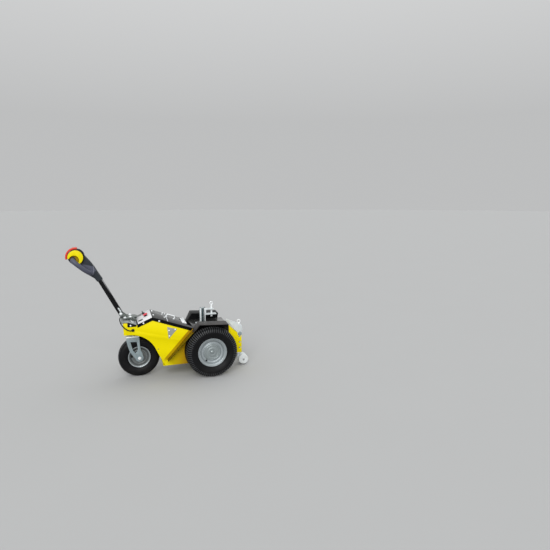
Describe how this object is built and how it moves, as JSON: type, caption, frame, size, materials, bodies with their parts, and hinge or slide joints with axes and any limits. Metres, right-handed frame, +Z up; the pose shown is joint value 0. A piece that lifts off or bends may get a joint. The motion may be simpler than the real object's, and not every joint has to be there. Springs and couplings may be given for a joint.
{
  "type": "pedestrian electric tow tug",
  "caption": "Walk-behind electric tow tug: yellow sheet steel body on driven rear wheels and a steered front wheel, with a tiller and two pin couplings behind.",
  "frame": {"origin": "middle of the bounding box's bottom face, on the floor", "axes": "+X along the length to the tiller end, +Y to the left side across the narrow way, +Z up"},
  "size_m": [1.4262, 0.54, 1.0733],
  "materials": {
    "yellow_paint": "gloss",
    "black_paint": "gloss",
    "grey_paint": "satin",
    "zinc": "zinc plated",
    "bare_steel": "machined",
    "silver_rim": "silver paint",
    "cast_metal": "painted casting",
    "tyre": "matt",
    "black_plastic": "satin",
    "dark_moulding": "satin",
    "yellow_plastic": "gloss",
    "red_plastic": "gloss",
    "panel_face": "satin",
    "white_nylon": "satin"
  },
  "bodies": {
    "chassis": {"side_panel_left": "yellow_paint", "side_panel_right": "yellow_paint", "nose_plate": "yellow_paint", "wheel_well": "yellow_paint", "floor_plate": "yellow_paint", "front_deck": "black_paint", "hood": "black_paint", "hatch_cover": "black_paint", "control_panel": "panel_face", "emergency_stop": "red_plastic", "key_switch": "black_plastic", "battery_gauge": "black_plastic", "hood_latch": "zinc", "hood_handle": "zinc", "battery_block": "black_plastic", "transaxle": "cast_metal", "mudguard_left": "black_paint", "mudguard_right": "black_paint", "rear_deck": "black_paint", "rear_plate": "yellow_paint", "hitch_column": "yellow_paint", "hitch_jaw": "zinc", "jaw_bolt": "bare_steel", "hitch_pin": "zinc", "upper_post": "zinc", "upper_jaw": "zinc", "upper_pin": "zinc", "anti_tip_bracket": "zinc", "steering_head": "cast_metal", "tiller_cable": "black_plastic", "cable_gland": "black_plastic", "corner_plate": "grey_paint"},
    "steering": {"front_axle": "bare_steel", "steering_fork": "zinc", "steering_column": "bare_steel", "tiller_bracket": "black_paint"},
    "front_wheel": {"front_tyre": "tyre", "front_rim": "silver_rim"},
    "tiller": {"tiller_shaft": "black_paint", "head_housing": "dark_moulding", "thumb_knobs": "yellow_plastic", "belly_button": "red_plastic"},
    "rear_wheel_left": {"rear_tyre_left": "tyre", "rear_rim_left": "silver_rim"},
    "rear_wheel_right": {"rear_tyre_right": "tyre", "rear_rim_right": "silver_rim"},
    "anti_tip_wheels": {"anti_tip_wheels": "white_nylon"}
  },
  "joints": [
    {"name": "steering_swivel", "type": "hinge", "parent": "chassis", "child": "steering", "pos_m": [0.2524, 0, 0.4], "axis": [0, 0, 1], "range_deg": [-90, 90], "deforming": ["tiller_cable"]},
    {"name": "front_wheel_spin", "type": "hinge", "parent": "steering", "child": "front_wheel", "pos_m": [0.2054, 0, 0.165], "axis": [0, 1, 0], "continuous": true},
    {"name": "tiller_tilt", "type": "hinge", "parent": "steering", "child": "tiller", "pos_m": [0.3314, 0, 0.532], "axis": [0, 1, 0], "range_deg": [-27, 48]},
    {"name": "rear_wheel_left_spin", "type": "hinge", "parent": "chassis", "child": "rear_wheel_left", "pos_m": [-0.3586, 0.21, 0.2075], "axis": [0, 1, 0], "continuous": true},
    {"name": "rear_wheel_right_spin", "type": "hinge", "parent": "chassis", "child": "rear_wheel_right", "pos_m": [-0.3586, -0.21, 0.2075], "axis": [0, 1, 0], "continuous": true},
    {"name": "anti_tip_spin", "type": "hinge", "parent": "chassis", "child": "anti_tip_wheels", "pos_m": [-0.6706, 0, 0.051], "axis": [0, 1, 0], "continuous": true}
  ]
}
